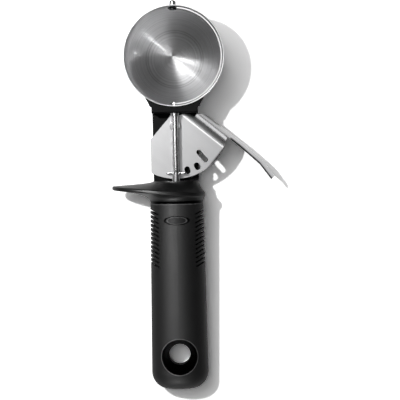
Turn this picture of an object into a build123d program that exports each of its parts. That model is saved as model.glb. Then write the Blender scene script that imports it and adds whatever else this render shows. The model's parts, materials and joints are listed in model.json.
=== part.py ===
from build123d import *

import os
from math import asin, atan2, cos, degrees, hypot, radians, sin, sqrt

# Lever ice cream scoop. Squeezing the lever turns its toothed plate about the lever pivot, the plate
# drives a pinion of two crossed pins, and the spindle sweeps the wiper through the bowl.
#
# The tool is drawn level and straight: the spindle is the Y axis, the centre of the bowl's sphere is
# the origin, the bowl opens towards +Z and the handle runs along -Y. A "station" is a distance from the
# bowl's centre along the handle, so a point at a station has y = -station. Lengths are millimetres and
# angles are degrees. At the end every piece is laid down on the counter, at rest.

# Fits
running_fit = 0.05  # radial clearance of a turning shaft in its hole
side_play = 0.05  # free play along the lever pivot
pivot_reach_gap = 0.3  # between the lever's pivot head and the spindle above it

# Bowl
bowl_radius = 31.0
bowl_wall = 0.8
rim_height = 3.2  # straight skirt between the spindle axis and the rim
rim_round = 0.3

# Spindle and its pinion of two crossed pins
spindle_radius = 2.0
spindle_end_gap = 0.5  # the spindle ends this far inside its lower bush
pinion_pin_radius = 0.6
pinion_pin_reach = 6.3
pinion_pin_step = 1.3  # the two pins pass each other this far apart
pinion_pin_round = 0.55

# Wiper
wiper_thickness = 0.8
wiper_width = 6.0
wiper_gap = 0.45
spigot_radius = 1.4
rivet_radius = 2.2
rivet_height = 0.6
rivet_seat = 0.1  # the rivet heads sit flat on the curved strip
tip_shank_radius = 1.5
tip_head_gap = 0.25
tip_head_length = 2.7
tip_head_round = 1.4

# Lever plate
pivot_station = 42.5
plate_front = -3.6
plate_thickness = 1.2
plate_radius = 33.0
plate_left = 15.5
plate_shoulder = 8.4  # how far below the pivot the left side starts to slope inwards
plate_neck = 3.1
plate_neck_drop = 5.7
plate_top = 6.5
fold_start_x = 4.0
fold_angle = 39.1  # the fold line points this far below +X
fold_radius = 10.0
fold_top = 7.0  # the folded flange reaches this far above the pivot
tooth_angle = 13.1
tooth_first = 1.1
tooth_count = 3
tooth_margin = 4.3  # from the plate's round edge in to the middle of the tooth holes
tooth_width = 3.5
tooth_length = 4.85
slot_margin = 3.1
slot_length = 9.3
slot_width = 3.0
slot_turn = 40.4

# Lever arm and finger pad
arm_near_edge = 6.8  # the arm keeps the fold's section beyond this distance from the fold line
arm_low = -21.5
arm_straight = 56.6
arm_split = 40.0
arm_turn = 3.2  # the arm leans this far inwards from the fold line
arm_turn_length = 4.0
pad_length = 13.4
pad_angle = 11.0
pad_bend_length = 3.0
pad_corner_low = 7.0
pad_corner_high = 2.5
lever_travel = 24.5

# Lever pivot
pivot_radius = 2.0
pivot_head_radius = 3.5
pivot_head_round = 0.4
washer_radius = 4.5
washer_thickness = 0.55
nut_radius = 4.6
nut_thickness = 0.6
nut_pocket = 2.4
nut_gap = 0.4
pivot_tail = 0.9  # the pin stands this far out of its nut

# Neck and yoke
neck_half_width = 14.2
neck_floor = -8.0
neck_bottom = -18.6
neck_corner = 7.0
neck_start = 27.0
yoke_top = 3.6
yoke_end = 34.9
yoke_round = 0.8
cradle_thickness = 3.4
cradle_depth = 22.0
wing_half_width = 18.0
wing_station = 25.5
wing_waist_station = 30.5
wing_waist_half_width = 15.4
tongue_half_width = 9.0
tongue_station = 19.0
neck_past_pinion = 5.6  # from the pinion to the guard
boss_radius = 4.5
tenon_width = 14.0
tenon_height = 7.5
tenon_depth = 23.0
tenon_middle = -9.75

# Spindle bushes
upper_bush_radius = 2.65
upper_bush_end = 37.0
lower_bush_radius = 2.5
lower_bush_length = 11.1
bush_past_pinion = 1.7  # from the pinion to the lower bush

# Return spring
spring_wire_radius = 0.35
spring_radius = 5.6
spring_pitch = 0.75
spring_turns = 2.25
spring_knee = 1.0
spring_hole_gap = 0.3
spring_leg_reach = 8.4
spring_anchor_reach = 11.0
spring_hook = 2.2

# Tang
tang_width = 10.0
tang_thickness = 1.6
tang_top = -11.0
tang_in_core = 59.2  # how far the tang runs into the handle
tang_foot_low = -21.0

# Guard: its rim slants, so each edge has its own distance behind the neck's end at the left and right tip
guard_length = 14.0
guard_front_half_height = 11.5
guard_left = 40.3
guard_right = 18.2
guard_half_height = 17.0
rim_front_left = 2.8
rim_back_left = 5.2
rim_front_right = 7.9
rim_back_right = 9.7
guard_front_flare = 2.2  # exponents of the two trumpet curves
guard_back_flare = 2.8
guard_steps = 8
guard_rim_round = 1.0

# Handle
handle_axis = -7.0
grip_length = 117.5
grip_half_width = 16.65
grip_end_half_width = 17.85
grip_half_height = 12.2
grip_end_round = 11.0
grip_end_round_high = 10.0
cap_turns = (0, 20, 40, 60, 75, 90)  # the rounded end is lofted through ovals at these angles
core_half_width = 12.0
core_half_height = 8.5
core_length = 81.2
core_pin_radius = 1.5
core_pin_inset = 23.2  # from the grip's start to the first pin
core_pin_step = 28.0
core_pin_half_length = 6.0

# Fins in the grip's sides
fin_count = 13
fin_inset = 6.8  # from the grip's start to the inner end of the first gap
fin_pitch = 2.72
fin_gap = 1.1
fin_gap_depth = 2.3
fin_inner = 11.2
fin_slant = 27.0

# Badge and hanging hole
badge_inset = 10.2  # from the grip's start
badge_length = 13.8
badge_width = 4.85
badge_stand = 0.2
badge_depth = 1.0
hang_inset = 22.1  # from the grip's end
hang_radius = 6.7
hang_land = 5.8
hang_mouth_radius = 11.1

# Sizes that follow from the ones above
inner_radius = bowl_radius - bowl_wall
wiper_radius = sqrt((inner_radius - wiper_gap) ** 2 - (wiper_width / 2) ** 2)
wiper_inner_radius = wiper_radius - wiper_thickness
tooth_circle = plate_radius - tooth_margin
slot_circle = plate_radius - slot_margin - slot_length / 2
pinion_station = pivot_station + tooth_circle
lower_bush_start = pinion_station + bush_past_pinion
lower_bush_end = lower_bush_start + lower_bush_length
spindle_end = lower_bush_end - spindle_end_gap
neck_end = pinion_station + neck_past_pinion
grip_start = neck_end + guard_length
grip_end = grip_start + grip_length
core_end = grip_start + core_length
tang_end = grip_start + tang_in_core
core_pin_stations = (grip_start + core_pin_inset, grip_start + core_pin_inset + core_pin_step)
fin_first = grip_start + fin_inset
badge_station = grip_start + badge_inset
hang_station = grip_end - hang_inset
pinion_ratio = 90 / tooth_angle
wiper_travel = lever_travel * pinion_ratio
pinion_phase = -tooth_first * pinion_ratio
plate_back = plate_front - plate_thickness
boss_top = plate_back - side_play - washer_thickness
pivot_head_top = -spindle_radius - pivot_reach_gap
tang_bottom = tang_top - tang_thickness
cradle_radius = bowl_radius + cradle_thickness
nut_face = neck_bottom + nut_pocket
cap_start = grip_end - grip_end_round
spring_low = neck_floor + 2 * spring_wire_radius  # the coil's lower end, above the sloping leg
reach = 400.0  # longer than anything that a cut has to pass through


def plan(x, below):
    """A point of the plan, given from the lever's pivot: to the right, and towards the handle."""
    return Vector(x, -(pivot_station + below))


fold_along = Vector(cos(radians(fold_angle)), -sin(radians(fold_angle)))
fold_out = Vector(sin(radians(fold_angle)), cos(radians(fold_angle)))
fold_corner = plan(fold_start_x, -plate_top)


def from_fold(along, out):
    """A point of the plan, given along the fold line and outwards from it."""
    return fold_corner + fold_along * along + fold_out * out


# ---- Bowl: a spun hemisphere with a short straight skirt, drilled for the spindle and the tip pivot
with BuildPart() as bowl:
    Sphere(bowl_radius, arc_size2=0, align=(Align.CENTER, Align.CENTER, Align.MAX))
    Cylinder(bowl_radius, rim_height, align=(Align.CENTER, Align.CENTER, Align.MIN))
    Sphere(inner_radius, mode=Mode.SUBTRACT)
    Cylinder(inner_radius, rim_height, align=(Align.CENTER, Align.CENTER, Align.MIN), mode=Mode.SUBTRACT)
    rim_edges = bowl.edges().group_by(Axis.Z)[-1]
    fillet(rim_edges, rim_round)
    with BuildSketch(Plane.XZ):
        Circle(spindle_radius + running_fit)
    extrude(amount=reach, mode=Mode.SUBTRACT)
    with BuildSketch(Plane.XZ):
        Circle(tip_shank_radius + running_fit)
    extrude(amount=-reach, mode=Mode.SUBTRACT)


def pinion_pin(turn, station):
    """One pin of the pinion, through the spindle at a station, turned from the vertical."""
    across = Plane(origin=(0, -station, 0), z_dir=(sin(radians(turn)), 0, cos(radians(turn))))
    with BuildPart() as pin:
        with BuildSketch(across):
            Circle(pinion_pin_radius)
        extrude(amount=pinion_pin_reach, both=True)
        tips = pin.edges().filter_by(GeomType.CIRCLE)
        fillet(tips, pinion_pin_round)
    return pin


# ---- Pinion: two crossed pins, of which the lower end of the first stands in the plate's first hole
cross_pin_a = pinion_pin(pinion_phase, pinion_station - pinion_pin_step / 2)
cross_pin_b = pinion_pin(pinion_phase + 90, pinion_station + pinion_pin_step / 2)

# ---- Spindle: a rod with a riveted spigot in the bowl and two cross holes for the pinion's pins
spigot_face = wiper_inner_radius - rivet_seat
with BuildPart() as spindle:
    with BuildSketch(Plane.XZ.offset(wiper_radius)):
        Circle(spindle_radius)
    extrude(amount=spindle_end - wiper_radius)
    chamfer(spindle.edges().group_by(Axis.Y)[0], spindle_radius / 4)
    with BuildSketch(Plane.XZ.offset(spigot_face)):
        Circle(spigot_radius)
    extrude(amount=wiper_radius - spigot_face)
    with BuildSketch(Plane.XZ.offset(spigot_face - rivet_height)):
        Circle(rivet_radius)
    extrude(amount=rivet_height)
    fillet(spindle.edges().group_by(Axis.Y)[-1], rivet_height / 2)
    add(cross_pin_a.part, mode=Mode.SUBTRACT)
    add(cross_pin_b.part, mode=Mode.SUBTRACT)

# ---- Wiper: a half ring of strip with a rounded eye at each end, where the spindle axis passes
with BuildPart() as wiper:
    with BuildSketch(Plane.XY.offset(-wiper_width / 2)):
        Circle(wiper_radius)
        Circle(wiper_inner_radius, mode=Mode.SUBTRACT)
        with Locations((-wiper_width / 2, 0)):
            Rectangle(reach, reach, align=(Align.MIN, Align.CENTER), mode=Mode.INTERSECT)
    extrude(amount=wiper_width)
    eye_corners = wiper.edges().filter_by(Axis.Y).group_by(Axis.X)[0]
    fillet(eye_corners, wiper_width / 2 - rim_round)
    with BuildSketch(Plane.XZ):
        Circle(spigot_radius)
    extrude(amount=bowl_radius, mode=Mode.SUBTRACT)
    with BuildSketch(Plane.XZ):
        Circle(tip_shank_radius)
    extrude(amount=-bowl_radius, mode=Mode.SUBTRACT)

# ---- Tip pivot: a shouldered rivet through the far side of the bowl, headed inside the wiper
tip_head_face = bowl_radius + tip_head_gap
with BuildPart() as tip_pivot:
    with BuildSketch(Plane.XZ.offset(-tip_head_face)):
        Circle(rivet_radius)
    extrude(amount=-tip_head_length)
    fillet(tip_pivot.edges().group_by(Axis.Y)[-1], tip_head_round)
    with BuildSketch(Plane.XZ.offset(-spigot_face)):
        Circle(tip_shank_radius)
    extrude(amount=-(tip_head_face - spigot_face))
    with BuildSketch(Plane.XZ.offset(-spigot_face)):
        Circle(rivet_radius)
    extrude(amount=rivet_height)
    fillet(tip_pivot.edges().group_by(Axis.Y)[0], rivet_height / 2)


def fold_band(along, near):
    """The section of the folded flange at a place along the fold, from a distance outwards of it."""
    section = Plane(origin=from_fold(along, 0), x_dir=fold_out, z_dir=fold_along)
    fold_axis = plate_front - fold_radius
    with BuildSketch(section) as band:
        with Locations((0, fold_axis)):
            Circle(fold_radius)
            Circle(fold_radius - plate_thickness, mode=Mode.SUBTRACT)
        with Locations((near, fold_axis)):
            Rectangle(fold_radius, fold_radius, align=(Align.MIN, Align.MIN), mode=Mode.INTERSECT)
        with Locations((fold_radius, fold_axis)):
            Rectangle(plate_thickness, fold_axis - arm_low, align=(Align.MAX, Align.MAX))
    return band


# ---- Lever: one stamping of a toothed plate, a folded flange, an arm and a finger pad
fold_inside = fold_band(0, 0)
arm_section = fold_band(arm_split, arm_near_edge)
arm_start = from_fold(arm_split, fold_radius)
arm_turn_radius = arm_turn_length / radians(arm_turn)
arm_line_length = arm_straight - arm_split - arm_turn_length
pad_bend_radius = pad_bend_length / radians(pad_angle)

with BuildPart() as lever:
    with BuildSketch(Plane.XY.offset(plate_back)):
        with BuildLine():
            Polyline(
                plan(-plate_left, plate_radius),
                plan(-plate_left, plate_shoulder),
                plan(-plate_neck, -plate_neck_drop),
                plan(-plate_neck, -plate_top),
                plan(fold_start_x, -plate_top),
                from_fold(2 * plate_radius, 0),
                close=True,
            )
        make_face()
        with Locations(plan(0, 0)):
            Circle(plate_radius, mode=Mode.INTERSECT)
    extrude(amount=plate_thickness)
    extrude(fold_inside.sketch, amount=arm_split)
    # Towards the bowl the flange is cut off square.
    with BuildSketch(Plane.XY.offset(arm_low)):
        with Locations(plan(0, -fold_top)):
            Rectangle(reach, reach, align=(Align.CENTER, Align.MIN))
    extrude(amount=-2 * arm_low, mode=Mode.SUBTRACT)
    # Outside the plate's round edge only the outer part of the fold goes on, as the arm.
    with BuildSketch(Plane.XY.offset(arm_low)):
        with BuildLine():
            Polyline(
                from_fold(fold_radius, -plate_thickness),
                from_fold(fold_radius, arm_near_edge),
                from_fold(arm_straight, arm_near_edge),
                from_fold(arm_straight, -plate_thickness),
                close=True,
            )
        make_face()
        with Locations(plan(0, 0)):
            Circle(plate_radius, mode=Mode.SUBTRACT)
    extrude(amount=-2 * arm_low, mode=Mode.SUBTRACT)
    # The arm turns slightly inwards from the fold line, and the pad is bent inwards again.
    with BuildLine() as arm_path:
        arm_curve = JernArc(arm_start, fold_along, arm_turn_radius, -arm_turn)
        arm_line = Line(arm_curve @ 1, arm_curve @ 1 + (arm_curve % 1) * arm_line_length)
        pad_curve = JernArc(arm_line @ 1, arm_line % 1, pad_bend_radius, -pad_angle)
        pad_line = Line(pad_curve @ 1, pad_curve @ 1 + (pad_curve % 1) * (pad_length - pad_bend_length))
    sweep(arm_section.sketch, path=arm_path.line)
    # The pad's outline, seen from outside: a long rectangle whose free corners are rounded.
    pad_way = pad_line % 1
    with BuildSketch(Plane(origin=pad_line @ 1, x_dir=pad_way, z_dir=pad_way.rotate(Axis.Z, -90))):
        with Locations((0, plate_front)):
            Rectangle(reach, plate_front - arm_low, align=(Align.MAX, Align.MAX))
        free_corners = vertices().group_by(Axis.X)[-1]
        fillet(free_corners.sort_by(Axis.Y)[0], pad_corner_low)
        fillet(free_corners.sort_by(Axis.Y)[-1], pad_corner_high)
    extrude(amount=reach / 2, both=True, mode=Mode.INTERSECT)
    # Pivot hole, tooth holes and the slot.
    with BuildSketch(Plane.XY.offset(plate_back)):
        with Locations(plan(0, 0)):
            Circle(pivot_radius + running_fit)
            for tooth in range(tooth_count):
                turn = tooth_first + tooth * tooth_angle - 90
                with PolarLocations(tooth_circle, 1, start_angle=turn):
                    SlotOverall(tooth_length, tooth_width)
            with PolarLocations(slot_circle, 1, start_angle=slot_turn - 90):
                SlotOverall(slot_length, slot_width)
    extrude(amount=plate_thickness, mode=Mode.SUBTRACT)

# ---- Tang: a strip welded to the bowl by a dished foot; it runs through neck, guard and handle
with BuildPart() as tang:
    Sphere(bowl_radius + tang_thickness)
    with Locations((0, 0, tang_foot_low)):
        Box(tang_width, reach, tang_top - tang_foot_low,
            align=(Align.CENTER, Align.MAX, Align.MIN), mode=Mode.INTERSECT)
    with Locations((0, -tang_end, tang_bottom)):
        Box(tang_width, tang_end - tongue_station, tang_thickness,
            align=(Align.CENTER, Align.MIN, Align.MIN))
    Sphere(bowl_radius, mode=Mode.SUBTRACT)
    with Locations(*[(0, -station, tang_bottom) for station in (pivot_station, *core_pin_stations)]):
        Cylinder(pivot_radius, reach, mode=Mode.SUBTRACT)

# ---- Return spring: a coil round the boss, one leg in the lever's fold and one hooked in the floor
with BuildPart() as return_spring:
    with BuildLine() as spring_path:
        coil = Helix(spring_pitch, spring_turns * spring_pitch, spring_radius, lefthand=True)
        Line(coil @ 1, (coil @ 1) + (coil % 1) * spring_leg_reach)
        knee = (coil @ 0) - (coil % 0) * spring_anchor_reach
        FilletPolyline(coil @ 0, knee, knee - Vector(0, 0, spring_hook), radius=spring_knee)
    with BuildSketch(Plane(origin=knee - Vector(0, 0, spring_hook))):
        Circle(spring_wire_radius)
    sweep(path=spring_path.wire())

spring_place = Location((0, -pivot_station, spring_low), (0, 0, 180))
return_spring.part.move(spring_place)

# ---- Lever pivot: a headed pin, a washer under the plate and a push nut behind the neck
with BuildPart() as pivot_pin:
    with Locations((0, -pivot_station, plate_front + side_play)):
        Cylinder(pivot_head_radius, pivot_head_top - plate_front - side_play,
                 align=(Align.CENTER, Align.CENTER, Align.MIN))
        fillet(pivot_pin.edges().group_by(Axis.Z)[-1], pivot_head_round)
        Cylinder(pivot_radius, plate_front + side_play - nut_face + nut_thickness + pivot_tail,
                 align=(Align.CENTER, Align.CENTER, Align.MAX))

with BuildPart() as pivot_washer:
    with Locations((0, -pivot_station, boss_top)):
        Cylinder(washer_radius, washer_thickness, align=(Align.CENTER, Align.CENTER, Align.MIN))
        Hole(pivot_radius)

with BuildPart() as pivot_nut:
    with Locations((0, -pivot_station, nut_face)):
        Cylinder(nut_radius, nut_thickness, align=(Align.CENTER, Align.CENTER, Align.MAX))
        Hole(pivot_radius)

# ---- Bushes that carry the spindle in the yoke and in the guard
with BuildPart() as upper_bush:
    with BuildSketch(Plane.XZ.offset(bowl_radius + side_play)):
        Circle(upper_bush_radius)
        Circle(spindle_radius + running_fit, mode=Mode.SUBTRACT)
    extrude(amount=upper_bush_end - bowl_radius - side_play)

with BuildPart() as lower_bush:
    with BuildSketch(Plane.XZ.offset(lower_bush_start)):
        Circle(lower_bush_radius)
        Circle(spindle_radius + running_fit, mode=Mode.SUBTRACT)
    extrude(amount=lower_bush_end - lower_bush_start)

# ---- Cradle: the part of the neck that hugs the bowl, between two wings that run out on its rim
with BuildPart() as cradle:
    with BuildSketch(Plane.XY.offset(-cradle_depth)):
        with BuildLine():
            right_wing = ThreePointArc(
                (wing_half_width, -wing_station),
                (wing_waist_half_width, -wing_waist_station),
                (neck_half_width, -yoke_end),
            )
            left_wing = mirror(right_wing, about=Plane.YZ)
            Line(right_wing @ 1, left_wing @ 1)
            Polyline(
                right_wing @ 0,
                (tongue_half_width, -tongue_station),
                (-tongue_half_width, -tongue_station),
                left_wing @ 0,
            )
        make_face()
    extrude(amount=cradle_depth + yoke_top)
    Sphere(cradle_radius, mode=Mode.INTERSECT)

# ---- Neck: a trough from the yoke to the guard, with the pivot boss on its floor and a tenon
with BuildPart() as neck:
    with BuildSketch(Plane.XZ.offset(neck_start)):
        with Locations((0, yoke_top)):
            Rectangle(2 * neck_half_width, yoke_top - neck_bottom, align=(Align.CENTER, Align.MAX))
        fillet(vertices().group_by(Axis.Y)[0], neck_corner)
    extrude(amount=neck_end - neck_start)
    # Behind the yoke the neck is cut down to its floor.
    with Locations((0, -yoke_end, neck_floor)):
        Box(reach, reach, reach, align=(Align.CENTER, Align.MAX, Align.MIN), mode=Mode.SUBTRACT)
    add(cradle.part)
    fillet(neck.edges().group_by(Axis.Z)[-1].sort_by(Axis.Y)[0], yoke_round)
    # The bowl's seat.
    Sphere(bowl_radius, mode=Mode.SUBTRACT)
    Cylinder(bowl_radius, yoke_top, align=(Align.CENTER, Align.CENTER, Align.MIN), mode=Mode.SUBTRACT)
    # The tenon, and the boss round the pivot.
    with Locations((0, -neck_end, tenon_middle)):
        Box(tenon_width, tenon_depth, tenon_height, align=(Align.CENTER, Align.MAX, Align.CENTER))
    with Locations((0, -pivot_station, neck_floor)):
        Cylinder(boss_radius, boss_top - neck_floor, align=(Align.CENTER, Align.CENTER, Align.MIN))
    # Holes for the pivot pin, its nut, the spring's hook, the bush and the tang.
    with Locations((0, -pivot_station, neck_bottom)):
        Cylinder(pivot_radius, reach, mode=Mode.SUBTRACT)
        Cylinder(nut_radius + nut_gap, nut_pocket, align=(Align.CENTER, Align.CENTER, Align.MIN),
                 mode=Mode.SUBTRACT)
    with Locations((-spring_radius, -pivot_station - spring_anchor_reach, neck_floor)):
        Cylinder(spring_wire_radius + spring_hole_gap, 2 * spring_hook, mode=Mode.SUBTRACT)
    with BuildSketch(Plane.XZ.offset(neck_start)):
        Circle(upper_bush_radius)
    extrude(amount=upper_bush_end - neck_start, mode=Mode.SUBTRACT)
    add(tang.part, mode=Mode.SUBTRACT)


def oval(left, right, half_height):
    """An upright ellipse between a left and a right point, each given as x and station.

    It is drawn as a left and a right half, so that lofts are joined above and below, clear of the fins.
    """
    start = Vector(left[0], -left[1], handle_axis)
    end = Vector(right[0], -right[1], handle_axis)
    span = end - start
    upright = Plane(origin=(start + end) / 2, x_dir=span, z_dir=span.rotate(Axis.Z, -90))
    with BuildSketch(upright) as section:
        with BuildLine():
            EllipticalCenterArc((0, 0), span.length / 2, half_height, start_angle=-90, arc_size=180)
            EllipticalCenterArc((0, 0), span.length / 2, half_height, start_angle=90, arc_size=180)
        make_face()
    return section.sketch


def trumpet(start, half_width, half_height, rim_left, rim_right, flare):
    """Ovals from an upright one at a station out to the guard's slanting rim."""
    ovals = []
    for step in range(guard_steps + 1):
        spread = (step / guard_steps) ** 1.5
        along = spread ** (1 / flare)
        left = -half_width - (guard_left - half_width) * spread
        right = half_width + (guard_right - half_width) * spread
        height = half_height + (guard_half_height - half_height) * spread
        left_station = start + (rim_left - start) * along
        right_station = start + (rim_right - start) * along
        ovals.append(oval((left, left_station), (right, right_station), height))
    return ovals


# ---- Guard: two trumpet shapes that meet in a slanting rim, far out on the left
front_ovals = trumpet(neck_end, neck_half_width, guard_front_half_height,
                      neck_end + rim_front_left, neck_end + rim_front_right, guard_front_flare)
back_ovals = trumpet(grip_start, grip_half_width, grip_half_height,
                     neck_end + rim_back_left, neck_end + rim_back_right, guard_back_flare)
with BuildPart() as guard:
    loft(sections=front_ovals)
    loft(sections=[front_ovals[-1], back_ovals[-1]])
    loft(sections=back_ovals)
    rim_edges = guard.edges().sort_by(SortBy.LENGTH)[-4:]
    fillet(rim_edges, guard_rim_round)
    with BuildSketch(Plane.XZ.offset(lower_bush_start)):
        Circle(lower_bush_radius)
    extrude(amount=lower_bush_end - lower_bush_start, mode=Mode.SUBTRACT)
    add(neck.part, mode=Mode.SUBTRACT)
    add(tang.part, mode=Mode.SUBTRACT)

# ---- Tang pins: two pins that hold the tang in the handle's core
with BuildPart() as tang_pins:
    with Locations(*[(0, -station, handle_axis) for station in core_pin_stations]):
        Cylinder(core_pin_radius, 2 * core_pin_half_length)

# ---- Handle core: an oval bar with a socket for the neck's tenon
with BuildPart() as handle_core:
    with BuildSketch(Plane.XZ.offset(grip_start)):
        with Locations((0, handle_axis)):
            Ellipse(core_half_width, core_half_height)
    extrude(amount=core_end - grip_start)
    add(neck.part, mode=Mode.SUBTRACT)
    add(tang.part, mode=Mode.SUBTRACT)
    add(tang_pins.part, mode=Mode.SUBTRACT)


def grip_oval(station, half_width, half_height):
    """An upright oval on the handle's axis."""
    return oval((-half_width, station), (half_width, station), half_height)


def sleeve(growth):
    """The straight part of the grip's outside, grown by a distance."""
    start = grip_oval(grip_start, grip_half_width + growth, grip_half_height + growth)
    end = grip_oval(cap_start, grip_end_half_width + growth, grip_half_height + growth)
    with BuildPart() as body:
        loft(sections=[start, end])
    return body.part


# ---- Badge: an oval inlay that follows the grip's surface
with BuildPart() as badge:
    with BuildSketch():
        with Locations((0, -badge_station)):
            Ellipse(badge_length / 2, badge_width / 2)
    extrude(amount=grip_half_height)
    add(sleeve(badge_stand), mode=Mode.INTERSECT)
    add(sleeve(-badge_depth), mode=Mode.SUBTRACT)

# ---- Fin gaps: slanting slots in both sides of the grip, as deep as the fins stand out
with BuildPart() as fin_gaps:
    with BuildSketch(Plane.XY.offset(handle_axis - grip_half_width)):
        for fin in range(fin_count):
            with Locations((fin_inner, -(fin_first + fin * fin_pitch))):
                SlotOverall(grip_half_width, fin_gap, rotation=fin_slant, align=(Align.MIN, Align.CENTER))
        mirror(about=Plane.YZ)
    extrude(amount=2 * grip_half_width)
    add(sleeve(-fin_gap_depth), mode=Mode.SUBTRACT)

# ---- Grip: a rubber sleeve over the core with a rounded end and a countersunk hanging hole
with BuildPart() as grip:
    cap_ovals = []
    for turn in cap_turns:
        inset = grip_end_round * (1 - cos(radians(turn)))
        inset_high = grip_end_round_high * (1 - cos(radians(turn)))
        station = cap_start + grip_end_round * sin(radians(turn))
        cap_ovals.append(grip_oval(station, grip_end_half_width - inset, grip_half_height - inset_high))
    loft(sections=cap_ovals)
    add(sleeve(0))
    with BuildSketch(Plane.XZ.offset(grip_start)):
        with Locations((0, handle_axis)):
            Ellipse(core_half_width, core_half_height)
    extrude(amount=core_end - grip_start, mode=Mode.SUBTRACT)
    add(fin_gaps.part, mode=Mode.SUBTRACT)
    add(badge.part, mode=Mode.SUBTRACT)
    # The hanging hole: a short bore with a wide mouth above and below.
    mouth_depth = grip_half_height - hang_land / 2
    with Locations((0, -hang_station, handle_axis)):
        Hole(hang_radius)
    with Locations((0, -hang_station, handle_axis + hang_land / 2)):
        Cone(hang_radius, hang_mouth_radius, mouth_depth,
             align=(Align.CENTER, Align.CENTER, Align.MIN), mode=Mode.SUBTRACT)
    with Locations((0, -hang_station, handle_axis - hang_land / 2)):
        Cone(hang_mouth_radius, hang_radius, mouth_depth,
             align=(Align.CENTER, Align.CENTER, Align.MAX), mode=Mode.SUBTRACT)

# ---- The place at rest: the bowl's back and the end of the grip touch the counter
cap_drop = grip_half_height - grip_end_round_high - handle_axis
cap_distance = hypot(cap_start, cap_drop)
cap_slope = degrees(atan2(cap_drop, cap_start))
tilt = degrees(asin((bowl_radius - grip_end_round_high) / cap_distance)) - cap_slope
tilted = Rotation(tilt, 0, 0)
outline = Compound([piece.part.moved(tilted) for piece in (bowl, guard, lever, grip, tip_pivot)])
footprint = outline.bounding_box()
rest = Location((-footprint.center().X, -footprint.center().Y, -footprint.min.Z)) * tilted

os.makedirs("parts", exist_ok=True)

bowl.part.move(rest)
bowl.part.label = "bowl"
export_step(bowl.part, "parts/bowl.step")

tip_pivot.part.move(rest)
tip_pivot.part.label = "tip_pivot"
export_step(tip_pivot.part, "parts/tip_pivot.step")

wiper.part.move(rest)
wiper.part.label = "wiper"
export_step(wiper.part, "parts/wiper.step")

spindle.part.move(rest)
spindle.part.label = "spindle"
export_step(spindle.part, "parts/spindle.step")

cross_pin_a.part.move(rest)
cross_pin_a.part.label = "cross_pin_a"
export_step(cross_pin_a.part, "parts/cross_pin_a.step")

cross_pin_b.part.move(rest)
cross_pin_b.part.label = "cross_pin_b"
export_step(cross_pin_b.part, "parts/cross_pin_b.step")

lever.part.move(rest)
lever.part.label = "lever"
export_step(lever.part, "parts/lever.step")

return_spring.part.move(rest)
return_spring.part.label = "return_spring"
export_step(return_spring.part, "parts/return_spring.step")

pivot_pin.part.move(rest)
pivot_pin.part.label = "pivot_pin"
export_step(pivot_pin.part, "parts/pivot_pin.step")

pivot_washer.part.move(rest)
pivot_washer.part.label = "pivot_washer"
export_step(pivot_washer.part, "parts/pivot_washer.step")

pivot_nut.part.move(rest)
pivot_nut.part.label = "pivot_nut"
export_step(pivot_nut.part, "parts/pivot_nut.step")

upper_bush.part.move(rest)
upper_bush.part.label = "upper_bush"
export_step(upper_bush.part, "parts/upper_bush.step")

lower_bush.part.move(rest)
lower_bush.part.label = "lower_bush"
export_step(lower_bush.part, "parts/lower_bush.step")

tang.part.move(rest)
tang.part.label = "tang"
export_step(tang.part, "parts/tang.step")

neck.part.move(rest)
neck.part.label = "neck"
export_step(neck.part, "parts/neck.step")

guard.part.move(rest)
guard.part.label = "guard"
export_step(guard.part, "parts/guard.step")

handle_core.part.move(rest)
handle_core.part.label = "handle_core"
export_step(handle_core.part, "parts/handle_core.step")

tang_pins.part.move(rest)
tang_pins.part.label = "tang_pins"
export_step(tang_pins.part, "parts/tang_pins.step")

grip.part.move(rest)
grip.part.label = "grip"
export_step(grip.part, "parts/grip.step")

badge.part.move(rest)
badge.part.label = "badge"
export_step(badge.part, "parts/badge.step")
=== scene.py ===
"""Looks of the lever ice cream scoop: finishes, lights, floor and camera."""

import json
import math

import bpy
from mathutils import Matrix, Vector


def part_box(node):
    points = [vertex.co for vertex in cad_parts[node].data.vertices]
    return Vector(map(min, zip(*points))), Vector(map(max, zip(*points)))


bl_info = {
    "name": "Lever ice cream scoop",
    "version": (1, 0, 0),
    "blender": (4, 5, 0),
    "location": "View3D > Sidebar > Scoop",
    "description": "Dresses the lever ice cream scoop and sets its studio",
    "category": "Object",
}

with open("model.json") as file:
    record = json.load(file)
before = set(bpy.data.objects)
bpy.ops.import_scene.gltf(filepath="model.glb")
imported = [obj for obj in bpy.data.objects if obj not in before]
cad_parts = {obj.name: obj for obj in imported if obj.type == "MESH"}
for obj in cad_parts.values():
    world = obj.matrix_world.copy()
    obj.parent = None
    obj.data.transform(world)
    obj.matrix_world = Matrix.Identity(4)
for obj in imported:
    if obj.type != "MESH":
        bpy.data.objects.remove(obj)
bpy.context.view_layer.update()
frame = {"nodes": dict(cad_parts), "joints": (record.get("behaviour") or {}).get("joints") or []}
nodes = frame["nodes"]

# The tool lies tilted on its bowl and its grip, so patterns are laid out in its own level frame:
# the origin is the bowl's centre, +Y runs to the tip and +Z comes out of the bowl.
bowl_low, bowl_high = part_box("bowl")
spindle_joint = next(joint for joint in frame["joints"] if joint["name"] == "wiper")
BOWL_CENTRE = Vector(spindle_joint["pos_m"])
UNDER_BOWL = Vector((BOWL_CENTRE.x, BOWL_CENTRE.y, 0.0))
TILT = math.asin(spindle_joint["axis"][2])
TOOL = Matrix.Translation(BOWL_CENTRE) @ Matrix.Rotation(TILT, 4, "X")
BOWL_RADIUS = (bowl_high.x - bowl_low.x) / 2
badge_low, badge_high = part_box("badge")
BADGE_PLACE = TOOL.inverted() @ ((badge_low + badge_high) / 2)
BADGE_REACH = (badge_high - badge_low) / 2

# The bowl's brushing starts a little off the pole, towards the tip.
BRUSH_CENTRE = (-0.0018, 0.0026, 0.0)
# The lever's fold starts at a corner of its plate and runs at an angle in the tool's plan.
FOLD_CORNER = (0.004, -0.036, 0.0)
FOLD_ANGLE = math.radians(39.1)
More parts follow.
